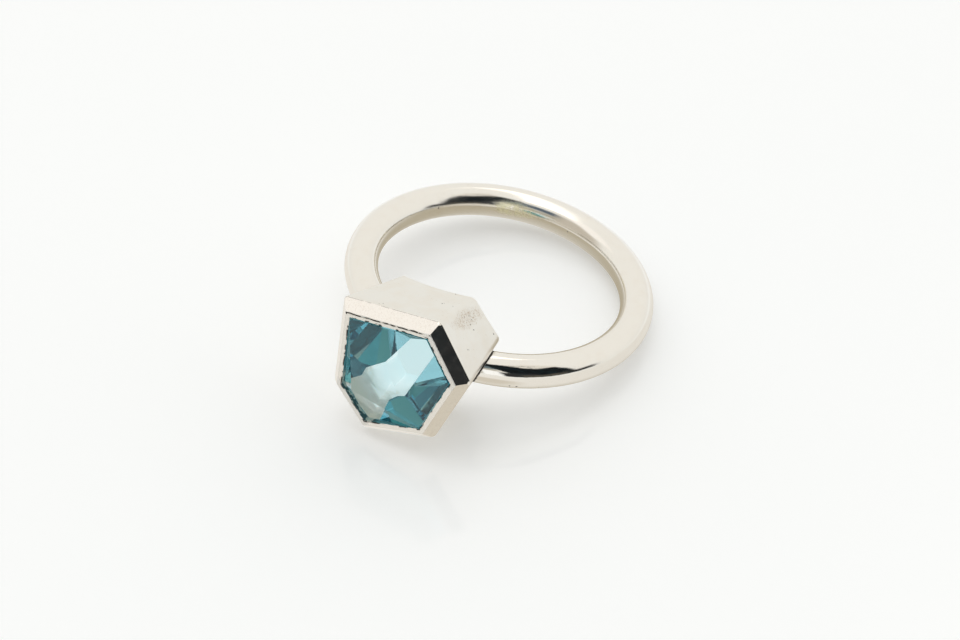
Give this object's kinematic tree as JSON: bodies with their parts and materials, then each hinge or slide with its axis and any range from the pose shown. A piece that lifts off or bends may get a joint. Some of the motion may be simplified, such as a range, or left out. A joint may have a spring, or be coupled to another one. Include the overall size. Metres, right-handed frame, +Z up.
{
  "type": "aquamarine ring",
  "caption": "Finger ring with a round wire band and a free-form six-sided bevelled setting that holds a faceted pale blue-green stone.",
  "frame": {"origin": "middle of the ring's box, on the surface that the ring lies on", "axes": "+Z up, the finger axis leaning about 11 degrees from it; the stone faces -Y and slightly down; +X to the right of the stone"},
  "size_m": [0.0214, 0.0254, 0.0107],
  "materials": {
    "silver": "polished band, bevel and lip, satin flanks with small pits and a faint brown stain",
    "stone": "clear, faceted and polished"
  },
  "bodies": {
    "root": {"band_and_setting": "silver", "aquamarine": "stone"}
  },
  "joints": []
}
